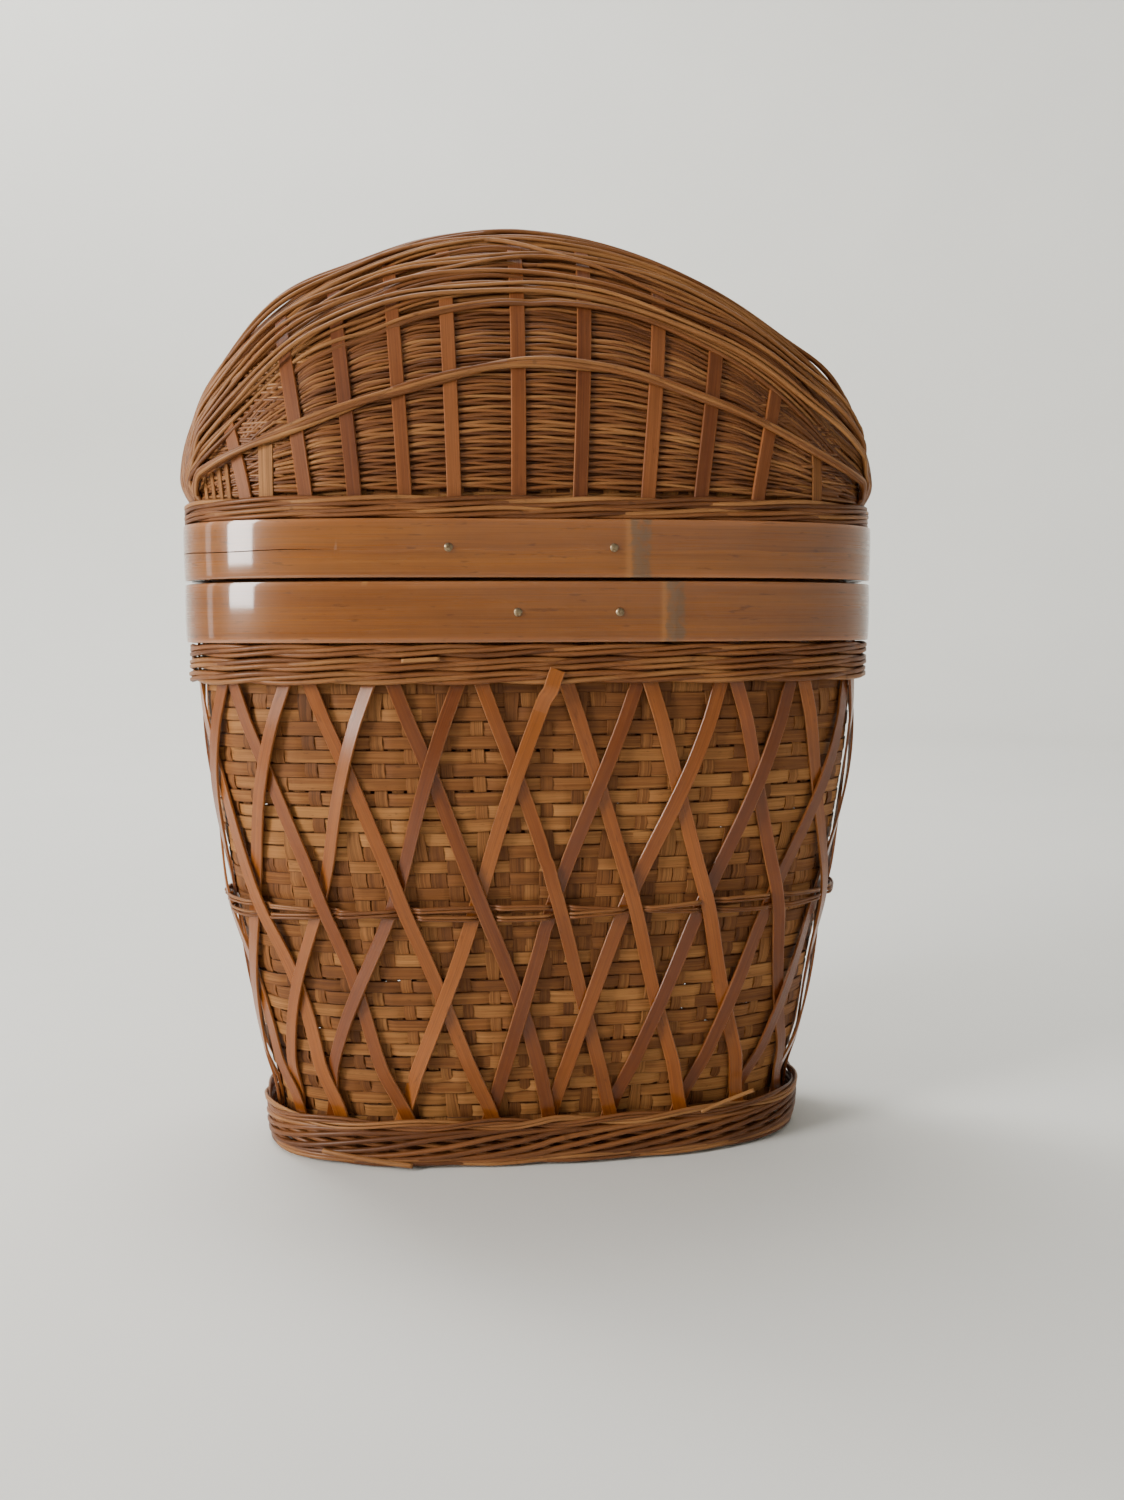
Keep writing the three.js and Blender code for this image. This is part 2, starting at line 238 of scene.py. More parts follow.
class Piece:
    """One object made of strands, each a section swept along its own path."""

    def __init__(self, name):
        self.name = name
        self.points, self.loops, self.sizes, self.strand = [], [], [], []
        self.count, self.sharp, self.marks = 0, 30, None

    def add(self, path, normals, section, tone, closed=False, scale=None):
        """Sweeps a section along path. Its second axis follows the outward normals."""
        shape, across, self.sharp = section
        if closed:
            tangent = np.roll(path, -1, 0) - np.roll(path, 1, 0)
        else:
            tangent = np.gradient(path, axis=0)
        tangent = unit(tangent)
        side = unit(np.cross(normals, tangent))
        out = np.cross(tangent, side)
        size = np.ones(len(path)) if scale is None else scale
        shape = shape[None] * size[:, None, None]
        points = path[:, None] + shape[..., :1] * side[:, None] + shape[..., 1:] * out[:, None]
        self.grid(points, lengths_along(path) * MM + tone * 7.3, across, tone, closed)
        if not closed:
            last = self.count - len(across) + np.arange(len(across))
            first = self.count - len(path) * len(across) + np.arange(len(across))
            self.loops += [first[::-1], last]
            self.sizes.append(np.full(2, len(across)))

    def grid(self, points, along, across, tone, closed=True, inward=False):
        """Adds rows of points as faces, with the marks that the materials read."""
        n, m = points.shape[:2]
        i, j = np.meshgrid(np.arange(n if closed else n - 1), np.arange(m), indexing="ij")
        next_i, next_j = (i + 1) % n, (j + 1) % m
        corners = [i * m + j, i * m + next_j, next_i * m + next_j, next_i * m + j]
        if inward:
            corners[1:] = corners[:0:-1]
        self.loops.append(np.stack(corners, -1).reshape(-1) + self.count)
        self.sizes.append(np.full(i.size, 4))
        marks = np.zeros((n, m, 3))
        marks[..., 0] = along[:, None]
        marks[..., 1] = across[None]
        marks[..., 2] = tone
        self.points.append(points.reshape(-1, 3))
        self.strand.append(marks.reshape(-1, 3))
        self.count += n * m

    def build(self, material, body, slot, *nodes):
        mesh = bpy.data.meshes.new(self.name)
        points = np.concatenate(self.points) * MM
        loops = np.concatenate(self.loops)
        sizes = np.concatenate(self.sizes)
        mesh.vertices.add(len(points))
        mesh.vertices.foreach_set("co", points.astype(np.float32).ravel())
        mesh.loops.add(len(loops))
        mesh.loops.foreach_set("vertex_index", loops.astype(np.int32))
        mesh.polygons.add(len(sizes))
        starts = np.concatenate([[0], np.cumsum(sizes)[:-1]])
        mesh.polygons.foreach_set("loop_start", starts.astype(np.int32))
        mesh.update(calc_edges=True)
        marks = mesh.attributes.new("strand", "FLOAT_VECTOR", "POINT")
        marks.data.foreach_set("vector", np.concatenate(self.strand).astype(np.float32).ravel())
        if self.marks is not None:
            flat = np.zeros((len(points), 3), dtype=np.float32)
            flat[:, :2] = self.marks
            scars = mesh.attributes.new("scars", "FLOAT_VECTOR", "POINT")
            scars.data.foreach_set("vector", flat.ravel())
        mesh.shade_smooth()
        mesh.set_sharp_from_angle(angle=math.radians(self.sharp))
        mesh.materials.append(material)
        piece = bpy.data.objects.new(self.name, mesh)
        bpy.context.scene.collection.objects.link(piece)
        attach(piece, body)
        if nodes:
            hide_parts(*nodes)
        return piece


def taper(rng, count):
    """Slow changes in a cane's thickness along its length."""
    return 1 + wander(rng, np.arange(count), count / 8, 0.06)


def wander(rng, at, reach, size):
    """A smooth random drift along a strand, about size high, over waves of length reach."""
    span = at[-1] - at[0]
    knots = max(4, int(span / reach) + 3)
    heights = rng.normal(0, size, knots)
    places = np.linspace(at[0], at[-1], knots)
    fine = np.interp(at, places, heights)
    soft = max(1, int(len(at) / knots / 1.5))
    kernel = np.hanning(2 * soft + 1)
    padded = np.pad(fine, soft, mode="edge")
    return np.convolve(padded, kernel / kernel.sum(), mode="valid")


# ---------------------------------------------------------------- materials
SHEEN_TINT = (1.0, 0.93, 0.84, 1.0)  # warms the pale reflections on cane and bamboo


class Nodes:
    """A material's node tree, with short ways to add and link nodes."""

    def __init__(self, name):
        self.material = bpy.data.materials.new(name)
        self.material.use_nodes = True
        self.tree = self.material.node_tree
        self.shader = self.tree.nodes["Principled BSDF"]

    def add(self, kind, **settings):
        node = self.tree.nodes.new("ShaderNode" + kind)
        for key, value in settings.items():
            setattr(node, key, value)
        return node

    def link(self, source, target):
        self.tree.links.new(source, target)

    def put(self, socket, value):
        if isinstance(value, bpy.types.NodeSocket):
            self.link(value, socket)
        else:
            socket.default_value = value

    def fill(self, node, **values):
        """Sets or links a node's inputs by name, with _ for each space."""
        for name, value in values.items():
            self.put(node.inputs[name.replace("_", " ")], value)

    def relief(self, height, distance, strength=1.0):
        bump = self.add("Bump")
        self.fill(bump, Height=height, Distance=distance, Strength=strength)
        self.link(bump.outputs[0], self.shader.inputs["Normal"])

    def math(self, operation, a, b=0.0):
        node = self.add("Math", operation=operation)
        self.put(node.inputs[0], a)
        self.put(node.inputs[1], b)
        return node.outputs[0]

    def noise(self, vector, scale=1.0, detail=3.0, rough=0.55):
        node = self.add("TexNoise")
        self.fill(node, Vector=vector, Scale=scale, Detail=detail, Roughness=rough)
        return node.outputs["Fac"]

    def span(self, value, low, high, to_low=0.0, to_high=1.0):
        node = self.add("MapRange")
        self.fill(node, Value=value, From_Min=low, From_Max=high, To_Min=to_low,
                  To_Max=to_high)
        return node.outputs["Result"]

    def blend(self, factor, a, b, kind="MIX"):
        node = self.add("Mix", data_type="RGBA", blend_type=kind)
        self.fill(node, Factor=factor, A=a, B=b)
        return node.outputs["Result"]

    def ramp(self, value, *colours):
        node = self.add("ValToRGB")
        self.link(value, node.inputs["Fac"])
        stops = node.color_ramp.elements
        while len(stops) < len(colours):
            stops.new(0.5)
        for i, colour in enumerate(colours):
            stops[i].position = i / (len(colours) - 1)
            stops[i].color = colour
        return node.outputs["Color"]


def shade(colour, factor):
    return tuple(c * factor for c in colour[:3]) + (1.0,)


def srgb(red, green, blue):
    """A colour from its sRGB bytes."""
    def linear(byte):
        c = byte / 255
        return c / 12.92 if c <= 0.04045 else ((c + 0.055) / 1.055) ** 2.4
    return linear(red), linear(green), linear(blue), 1.0


def bamboo(name, dark, mid, light, edge=None, fibre=0.35, fibres=9.0, grain_length=0.03,
           rough=0.5, coat=0.0, coat_rough=0.3, coat_ior=1.5, bump=0.00012, blotch=0.25, burn=0.0,
           scars=None):
    """Split bamboo or cane: long fibres, a tone of its own per strand, blotches, and edges of
    their own colour: a pale edge is scraped wear, a dark edge paints shade into the gaps between
    strips.
    """
    n = Nodes(name)
    strand = n.add("Attribute", attribute_name="strand").outputs["Vector"]
    parts = n.add("SeparateXYZ")
    n.link(strand, parts.inputs[0])
    along, across, tone = parts.outputs

    def stretched(length, count, shift):
        place = n.add("CombineXYZ")
        n.link(n.math("MULTIPLY", along, 1 / length), place.inputs[0])
        n.link(n.math("MULTIPLY", across, count), place.inputs[1])
        n.link(n.math("ADD", n.math("MULTIPLY", tone, 57.0), shift), place.inputs[2])
        return place.outputs[0]

    fine = n.noise(stretched(grain_length, fibres, 0.0), 1.0, 4.0, 0.6)
    wide = n.noise(stretched(grain_length * 3, fibres / 6, 9.0), 1.0, 2.0, 0.5)
    place = n.add("TexCoord").outputs["Object"]
    patch = n.noise(place, 38.0, 3.0, 0.6)
    tint = n.math("ADD", tone, n.math("MULTIPLY", n.math("SUBTRACT", wide, 0.5), 0.9))
    tint = n.math("ADD", tint, n.math("MULTIPLY", n.math("SUBTRACT", patch, 0.5), blotch * 2))
    colour = n.ramp(tint, dark, mid, light)
    streak = n.span(fine, 0.28, 0.72, 1 - fibre, 1 + fibre * 0.45)
    lines = n.add("CombineXYZ")
    for socket in lines.inputs:
        n.link(streak, socket)
    colour = n.blend(1.0, colour, lines.outputs[0], "MULTIPLY")
    # the edge colour goes on near both long edges: a pale one is scraped wear, a dark one is
    # painted shade for the narrow gaps between rows
    if edge:
        rim = n.span(n.math("ABSOLUTE", across), 0.72, 0.98)
        wear_and_gap_shade = n.math("MULTIPLY", rim, n.span(wide, 0.35, 0.6, 0.2, 0.9))
        colour = n.blend(wear_and_gap_shade, colour, edge)
    if burn:
        freckle = n.noise(stretched(grain_length / 6, fibres / 4, 21.0), 1.0, 2.0, 0.5)
        spot = n.span(freckle, 0.66, 0.74, 0.0, burn)
        colour = n.blend(spot, colour, shade(dark, 0.3))
    if scars:
        spots = n.add("SeparateXYZ")
        n.link(n.add("Attribute", attribute_name="scars").outputs["Vector"], spots.inputs[0])
        colour = n.blend(n.math("MULTIPLY", spots.outputs[0], 0.5), colour, scars[0])
        cloud = n.noise(place, 260.0, 4.0, 0.65)
        ragged = n.math("ADD", spots.outputs[1], n.math("MULTIPLY", cloud, 2.4))
        colour = n.blend(n.span(ragged, 1.72, 2.2, 0.0, 0.8), colour, scars[1])
    n.relief(n.math("ADD", fine, n.math("MULTIPLY", wide, 0.8)), bump, 0.7)
    n.fill(n.shader, Base_Color=colour, Coat_Weight=coat, Coat_Roughness=coat_rough,
           Coat_IOR=coat_ior, Roughness=n.span(fine, 0.3, 0.7, rough + 0.08, rough - 0.06),
           Specular_IOR_Level=0.28, Specular_Tint=SHEEN_TINT)
    return n.material


def metal(name, colour, rust):
    n = Nodes(name)
    place = n.add("TexCoord").outputs["Object"]
    wear = n.noise(place, 900.0, 4.0, 0.6)
    n.relief(wear, 0.00008)
    n.fill(n.shader, Base_Color=n.blend(n.span(wear, 0.45, 0.7), colour, rust),
           Roughness=n.span(wear, 0.3, 0.7, 0.28, 0.6), Metallic=1.0)
    return n.material


def plaster(name, colour, scale, depth):
    """A plain pale surface for the floor and backdrop, faintly mottled."""
    n = Nodes(name)
    place = n.add("TexCoord").outputs["Object"]
    mottle = n.noise(place, scale, 5.0, 0.6)
    n.relief(mottle, depth)
    n.fill(n.shader, Base_Color=n.blend(mottle, shade(colour, 0.96), shade(colour, 1.04)),
           Roughness=0.75)
    return n.material


# the dark edge colour of these strips is painted shade, for the gaps between the woven rows
WALL_STRIP = bamboo(
    "wall_strip", srgb(84, 46, 19), srgb(122, 73, 33), srgb(164, 111, 60),
    edge=srgb(57, 31, 15), fibre=0.45, fibres=11, grain_length=0.022, rough=0.6,
    blotch=0.3, burn=0.35)
STAKE_STRIP = bamboo(
    "stake_strip", srgb(87, 48, 20), srgb(123, 74, 35), srgb(158, 106, 58),
    fibre=0.6, fibres=7, grain_length=0.05, rough=0.62, blotch=0.3, burn=0.3)
LATTICE_STRIP = bamboo(
    "lattice_strip", srgb(102, 48, 10), srgb(122, 62, 15), srgb(140, 77, 24),
    edge=srgb(147, 91, 47), fibre=0.3, fibres=8, grain_length=0.04, rough=0.34,
    coat=0.36, coat_rough=0.2, blotch=0.3, burn=0.35)
RIB_STRIP = bamboo(
    "rib_strip", srgb(90, 45, 21), srgb(116, 64, 31), srgb(134, 79, 42),
    edge=srgb(144, 86, 43), fibre=0.3, fibres=8, grain_length=0.04, rough=0.52,
    blotch=0.25, burn=0.25)
CANE = bamboo(
    "cane", srgb(89, 49, 22), srgb(123, 74, 38), srgb(160, 110, 63),
    fibre=0.34, fibres=3, grain_length=0.025, rough=0.46, coat=0.12, blotch=0.35, burn=0.35)
HOOP = bamboo(
    "hoop", srgb(99, 53, 12), srgb(124, 69, 18), srgb(143, 86, 30),
    edge=srgb(156, 95, 49), fibre=0.3, fibres=34, grain_length=0.05, rough=0.3,
    coat=1.0, coat_rough=0.08, coat_ior=1.55, bump=0.00008, blotch=0.2, burn=0.45,
    scars=(srgb(162, 109, 55), srgb(95, 72, 49)))
NAIL = metal("nail", srgb(150, 132, 104), srgb(92, 62, 36))


# ---------------------------------------------------------------- the woven wall
STAKES = 104
ROW_PITCH, WEFT_WIDTH, SPLIT_THICK = 5.5, 5.25, 0.75
WALL_ROWS = 43
WEFT_WAVE, STAKE_WAVE = 0.6, 0.5
LONG_FLOATS = ((26, 84), (136, 191))


def goes_over(row, stake):
    """Whether a weft passes outside a stake: over 2, under 2, or over 3, under 1."""
    z = ROW_PITCH * (row + 1)
    place = (stake + 2 * (row % 2)) % 4
    return place != 0 if any(low < z < high for low, high in LONG_FLOATS) else place < 2


def in_long_floats(z):
    """1 where the wefts float over three stakes, 0 where over two, softened between."""
    return sum(smooth(low - 4, low + 4, z) * smooth(high + 4, high - 4, z)
               for low, high in LONG_FLOATS)


def wall_wefts(rng):
    lower, upper = Piece("wall_wefts_lower"), Piece("wall_wefts_upper")
    for row in range(WALL_ROWS):
        level = ROW_PITCH * (row + 1)
        piece = lower if row < WALL_ROWS / 2 else upper
        over = np.array([1.0 if goes_over(row, k) else -1.0 for k in range(STAKES)])
        loose = 1 + float(in_long_floats(level))
        cuts = np.sort(rng.uniform(0, STAKES, 3)) + rng.uniform(0, STAKES)
        for first, last in zip(cuts, np.append(cuts[1:], cuts[0] + STAKES)):
            at = np.arange(first - 1.2, last + 1.2, 0.25)
            low = np.floor(at).astype(int)
            part = smooth(0, 1, at - low)
            wave = mix(over[low % STAKES], over[(low + 1) % STAKES], part)
            ends = np.minimum(smooth(first - 1.2, first, at), smooth(last + 1.2, last, at))
            inset = WALL_INSET - WEFT_WAVE * wave + 0.7 * (1 - ends) + tuck(level)
            drift = wander(rng, at, 6, 0.16 * loose)
            share = at / STAKES
            path = body_point(share, level + drift, inset + wander(rng, at, 5, 0.08))
            scale = 1 + wander(rng, at, 9, 0.02 * loose)
            width = WEFT_WIDTH * rng.uniform(0.92, 1.04)
            piece.add(path, body_normal(share, level), flat_section(width, SPLIT_THICK),
                      rng.uniform(0.3, 0.95), scale=scale)
    lower.build(WALL_STRIP, "basket", "split_weave", "wall_weave")
    upper.build(WALL_STRIP, "basket", "split_weave", "wall_weave")


def wall_stakes(rng):
    piece = Piece("wall_stakes")
    levels = np.arange(1, 2 * WALL_ROWS + 1) * ROW_PITCH / 2
    for stake in range(STAKES):
        over = np.array([-1.0 if goes_over(row, stake) else 1.0 for row in range(WALL_ROWS)])
        rows = levels / ROW_PITCH - 1
        wave = np.interp(rows, np.arange(WALL_ROWS), over)
        inset = WALL_INSET - STAKE_WAVE * wave + tuck(levels)
        share = stake / STAKES + wander(rng, levels, 60, 0.0004)
        path = body_point(share, levels, inset)
        narrow = outline(levels, WALL_INSET)[0] / RIM_HALF_WIDTH
        width = 0.985 * PERIMETER / STAKES * rng.uniform(0.93, 1.0)
        narrow = narrow * mix(1.0, 0.78, in_long_floats(levels))
        piece.add(path, body_normal(share, levels), flat_section(width, SPLIT_THICK),
                  rng.uniform(0.1, 0.8), scale=narrow)
    piece.build(STAKE_STRIP, "basket", "split_weave", "wall_weave")


# ---------------------------------------------------------------- the lattice
LATTICE_WIDTH, LATTICE_THICK = 5.7, 1.0
LATTICE_INSET, LATTICE_WAVE = 6.1, 0.95
LATTICE_LOW, LATTICE_HIGH = 10.0, 226.0
WAIST = (waist_low[2] + waist_high[2]) / 2
CORNER = 0.12  # share of the rim from the middle of a long side to its corner


# How far the spacing moves, in shares of the way round, for strips that lean right or left:
# in even waves, and crowding low at the corners to the left and the right of the front.
EVEN_SPREAD = {1: 0.0077, -1: 0.004}
LEFT_CROWD, RIGHT_CROWD = {1: -0.027, -1: -0.019}, {1: 0.003, -1: 0.01}
CROWD_PLACE, CROWD_WIDTH = 0.11, 0.06
WAIST_BULGE, WAIST_REACH = 1.0, 16.0
LOOSE_END_RISE, LOOSE_END_INSET = 5.5, 0.3
CORNER_TILT, CORNER_REACH = 0.36, 0.05


def spread(share, z, lean):
    """Strips stand further apart at the middle of each side, and crowd at one low corner."""
    share = (share + 0.5) % 1 - 0.5
    low = smooth(WAIST + 25, 15, z)
    left = bell(share, -CROWD_PLACE, CROWD_WIDTH) * low
    right = bell(share, CROWD_PLACE, CROWD_WIDTH) * low
    even = EVEN_SPREAD[lean] * np.sin(4 * math.pi * share)
    return even + LEFT_CROWD[lean] * left + RIGHT_CROWD[lean] * right


def lattice_strip(rng, name, phase, lean, loose_end=False):
    """One strip of the lattice. It passes outside every other strip that it crosses."""
    top = shoulder_low[2] + LOOSE_END_RISE if loose_end else LATTICE_HIGH
    z = np.linspace(LATTICE_LOW, top, 73)
    share = (phase + lean * STRIP_DRIFT * (z - STRIP_ZERO)) / STRIPS
    share = share + spread(share, z, lean)
    moved = (spread(share, z, 1) - spread(share, z, -1)) * STRIPS * CROSSING_PITCH
    wave = np.cos(math.pi * (z + moved - FIRST_CROSSING) / CROSSING_PITCH) * lean
    inset = LATTICE_INSET - LATTICE_WAVE * wave + tuck(z)
    if lean < 0:
        inset -= WAIST_BULGE * bell(z, WAIST, WAIST_REACH)
    if loose_end:
        over = smooth(shoulder_low[2] - 12, shoulder_low[2] - 2, z)
        inset = mix(inset, LOOSE_END_INSET, over)
    share = share + rng.normal(0, 0.001) + wander(rng, z, 80, 0.0008)
    path = body_point(share, z, inset)
    piece = Piece(name.replace("lattice", "strip"))
    width = LATTICE_WIDTH * rng.uniform(0.91, 1.05)
    normals = body_normal(share, z)
    from_side = (share + 0.25) % 0.5 - 0.25
    corner = bell(np.abs(from_side), CORNER, CORNER_REACH, 4)
    tilt = CORNER_TILT * corner * (-np.sign(from_side) == lean) + rng.normal(0, 0.05)
    sideways = unit(np.cross(normals, np.gradient(path, axis=0))) * -lean
    normals = unit(normals - lean * sideways * np.reshape(tilt, (-1, 1)))
    piece.add(path, normals, flat_section(width, LATTICE_THICK), rng.uniform(0, 1),
              scale=1 + wander(rng, z, 40, 0.02))
    piece.build(LATTICE_STRIP, "basket", "lattice_strip", name)


def lattice(rng):
    for index in range(STRIPS):
        lattice_strip(rng, f"lattice_right_{index + 1:02d}", index, 1, index == 0)
        lattice_strip(rng, f"lattice_left_{index + 1:02d}", index + UNDER_PHASE, -1)


# ---------------------------------------------------------------- rows of cane
SHOULDER_INSET, SKIRT_INSET, WAIST_INSET, FOOT_INSET = 2.75, 2.5, 3.7, 4.4
LINER_CANE_INSET = 8.1


def twined_rows(piece, rng, levels, middle, depth, twist, canes, radius, pitch, lift, step=2.2,
                sink=None):
    """Rows of two bundles of canes that wind round each other all the way round.

    The bundles lie depth inside and outside the middle, and lift above and below their level.
    """
    count = int(PERIMETER / step)
    share = np.arange(count) / count - 0.5
    for row, level in enumerate(levels):
        shift = rng.uniform(0, 2 * math.pi)
        for bundle in range(2):
            turn = share * 2 * math.pi * twist + shift + bundle * math.pi
            outward = np.cos(turn)
            rise = lift * np.sin(turn)
            for cane in range(canes):
                place = (cane - (canes - 1) / 2) * pitch
                ripple = ring_wander(rng, share, 14, 0.22)
                z = level + place * (0.85 + 0.15 * outward) + rise + ripple
                inset = middle - depth * outward + ring_wander(rng, share, 14, 0.15)
                if sink is not None:
                    inset = inset + sink(share)
                path = body_point(share, z, inset)
                piece.add(path, body_normal(share, level), round_section(radius),
                          rng.uniform(0.2, 0.9), closed=True,
                          scale=1 + ring_wander(rng, share, 10, 0.06))


def ring_wander(rng, share, waves, size):
    """A smooth random drift that closes on itself after one turn."""
    total = np.zeros(len(share))
    for wave in range(1, waves + 1):
        total += np.sin(2 * math.pi * (wave * share + rng.uniform())) * rng.normal()
    return size * total / math.sqrt(waves)


def row_levels(low, high, rows):
    """The middles of equal rows between two heights."""
    return [low + (high - low) * (row + 0.5) / rows for row in range(rows)]


def shoulder(rng):
    piece = Piece("shoulder_canes")
    levels = row_levels(shoulder_low[2], shoulder_high[2], 3)
    twined_rows(piece, rng, levels, SHOULDER_INSET, 0.8, STRIPS / 2, 2, 1.05, 2.1, 0.75)
    low = shoulder_low[2] + 9.2
    loose_cane(piece, rng, (-0.076, -0.056), (low, low + 0.8), SHOULDER_INSET - 1.6, 0.3, 0.8,
               14)
    piece.build(CANE, "basket", "cane_weft", "shoulder_weft")


def skirt(rng):
    """The rows on the lid's hoop, and those that close the lid's weave behind them."""
    piece = Piece("skirt_canes")
    levels = row_levels(skirt_low[2], skirt_high[2], 2)
    twined_rows(piece, rng, levels, SKIRT_INSET, 0.7, 9, 2, 0.98, 1.9, 0.75)
    piece.build(CANE, "lid", "cane_weft", "lid_skirt_weft")
    inner = Piece("lid_inner_canes")
    levels = [skirt_low[2] + rise for rise in (1.4, 5.0, 8.4)]
    twined_rows(inner, rng, levels, LINER_CANE_INSET, 0.25, 13, 2, 0.85, 1.7, 0.4)
    inner.build(CANE, "lid", "cane_weft", "lid_weave")


def loose_cane(piece, rng, shares, levels, inset, stray, radius, count=24):
    """A short cut end of pale cane that stands off its weft by a stray distance."""
    share, z = np.linspace(*shares, count), np.linspace(*levels, count)
    lift = np.linspace(0, 1, count) ** 2
    path = body_point(share, z, inset - stray * lift)
    piece.add(path, body_normal(share, 200), round_section(radius, 8), rng.uniform(0.9, 1.1))


def under_left_strips(share):
    """How far the waist canes sink to pass behind each left-leaning strip."""
    place = (share - spread(share, WAIST, -1)) * STRIPS - UNDER_PHASE
    place = place + STRIP_DRIFT * (WAIST - STRIP_ZERO)
    return 2.3 * smooth(0.35, 0.85, np.cos(2 * math.pi * place))


def waist(rng):
    piece = Piece("waist_canes")
    twined_rows(piece, rng, [WAIST], WAIST_INSET, 0.35, 3, 2, 0.66, 1.35, 2.3, 1.6,
                under_left_strips)
    piece.build(CANE, "basket", "cane_weft", "waist_weft")


def foot(rng):
    """Thin twined rows over a broad plaited wale, and the rows that roll under the foot."""
    piece = Piece("foot_canes")
    twined_rows(piece, rng, [18.6], FOOT_INSET, 0.7, 9, 2, 0.78, 1.5, 1.3)
    wale(piece, rng, 3.6, 16.0, 9, 3, 1.2)
    twined_rows(piece, rng, [2.9], FOOT_INSET + 0.5, 0.6, 7, 2, 1.1, 1.5, 0.2)
    loose_cane(piece, rng, (-0.16, -0.1), (6.0, 2.4), FOOT_INSET - 1.6, 1.4, 1.1)
    loose_cane(piece, rng, (0.118, 0.15), (18.5, 26.0), FOOT_INSET - 0.7, 3.4, 0.8)
    piece.build(CANE, "basket", "cane_weft", "foot_weft")


def wale(piece, rng, low, high, strands, laps, radius=1.05, step=1.8):
    """A broad plait: each cane slants down across the front and climbs back behind."""
    count = int(PERIMETER / step)
    share = np.arange(count) / count - 0.5
    for strand in range(strands):
        turn = (share * laps + strand / strands) * 2 * math.pi
        swing = np.sin(turn)
        z = (low + high) / 2 + (high - low) / 2 * 0.92 * swing
        z = z + ring_wander(rng, share, 16, 0.25)
        depth = np.cos(turn)
        inset = FOOT_INSET + 0.2 - 0.75 * depth + 0.3 * (1 - np.abs(depth))
        path = body_point(share, z, inset)
        piece.add(path, body_normal(share, low), round_section(radius), rng.uniform(0.0, 0.6),
                  closed=True, scale=1 + ring_wander(rng, share, 10, 0.08))


# ---------------------------------------------------------------- hoops
HOOP_CROWN, HOOP_GAP = 0.2, 0.3  # how far the face bulges, and its least inset
NODE_LUMP, NODE_REACH = 0.24, 2.2
CRACK_DEPTH, CRACK_LIP = 0.9, 0.16
CHIP_DEPTH = 0.35


def hoop_ring(name, low, high, outer, inner, rng, node_at=None, crack=None, samples=720):
    """A flat bamboo hoop with softened edges, a node across it and a crack along it."""
    share = np.arange(samples) / samples - 0.5
    width = high - low
    face = np.array([0, 0.008, 0.03, 0.08, 0.16, 0.3, 0.42, 0.5, 0.58, 0.7, 0.84, 0.92, 0.97,
                     0.992, 1.0])
    across = face * 2 - 1
    round_off = np.array([0.55, 0.16, 0.04, 0.01] + [0] * 7 + [0.01, 0.04, 0.16, 0.55])
    z_out = low + width * face
    inset_out = outer + HOOP_GAP + HOOP_CROWN * across**2 + round_off
    z_in, inset_in = z_out[::-1], np.full(len(face), inner) - round_off[::-1] * 0.8
    z = np.tile(np.concatenate([z_out, z_in]), (samples, 1))
    inset = np.tile(np.concatenate([inset_out, inset_in]), (samples, 1))
    front = len(face)
    length = share * PERIMETER
    marks = np.zeros((samples, 2))
    if node_at is not None:
        inset[:, :front] -= NODE_LUMP * bell(length, node_at, NODE_REACH)[:, None]
        marks[:, 0] = bell(length, node_at - 4.5, 1.3)
        marks[:, 1] = bell(length, node_at, 4.6, 4)
    if crack is not None:
        start, end, height = crack
        open_ = smooth(start, start + 12, length) * smooth(end, end - 25, length)
        line = low + width * (height + 0.012 * np.sin(length / 9))
        lip = CRACK_LIP * open_ + 0.02
        for column, offset in ((6, -1), (7, 0), (8, 1)):
            z[:, column] = line + offset * lip
        inset[:, 7] += CRACK_DEPTH * open_
    nick = ring_wander(rng, share, 60, 0.5) > 1.05
    z[:, front - 2:front + 2] -= CHIP_DEPTH * nick[:, None] * np.array([0.4, 1, 1, 0.4])
    piece = Piece(name)
    piece.grid(body_point(share[:, None], z, inset), length * MM,
               np.concatenate([across, across[::-1]]), rng.uniform(0.3, 0.7), inward=True)
    marks = np.repeat(marks[:, None], z.shape[1], axis=1)
    chipped = ring_wander(rng, share, 90, 0.5) > 0.95
    marks[chipped, front - 3:front + 2, 0] = 1.3
    piece.marks = marks.reshape(-1, 2)
    return piece


HOOP_THICK, GAP_CLOSED = 3.2, 0.3  # each hoop is this much taller, to narrow the lid's gap


def hoops(rng):
    body = hoop_ring("basket_hoop", rim_low[2], rim_high[2] + GAP_CLOSED, 0, HOOP_THICK, rng,
                     node_at=50)
    body.build(HOOP, "basket", "hoop_bamboo", "body_hoop")
    lid = hoop_ring("lid_hoop_band", lid_hoop_low[2] - GAP_CLOSED, lid_hoop_high[2], 0,
                    HOOP_THICK, rng, node_at=36, crack=(-205, -78, 0.47))
    lid.build(HOOP, "lid", "hoop_bamboo", "lid_hoop")
    collar = hoop_ring("inner_collar", collar_low[2], collar_high[2], 10.5, 13.5, rng)
    collar.build(WALL_STRIP, "basket", "split_weave", "rim_collar")
    liner = hoop_ring("lid_liner", liner_low[2], liner_high[2], 8.2, 9.7, rng)
    liner.build(WALL_STRIP, "lid", "split_weave", "lid_liner_hoop")


def turned(sides, rows, closed):
    """Faces of a turned shape: a middle point, rows of points and, if closed, a last point."""
    faces = []
    for side in range(sides):
        after = (side + 1) % sides
        faces.append((0, 1 + side, 1 + after))
        for row in range(rows - 1):
            a, b = 1 + row * sides, 1 + (row + 1) * sides
            faces.append((a + side, b + side, b + after, a + after))
        if closed:
            last = 1 + (rows - 1) * sides
            faces.append((last + side, last + sides, last + after))
    return faces


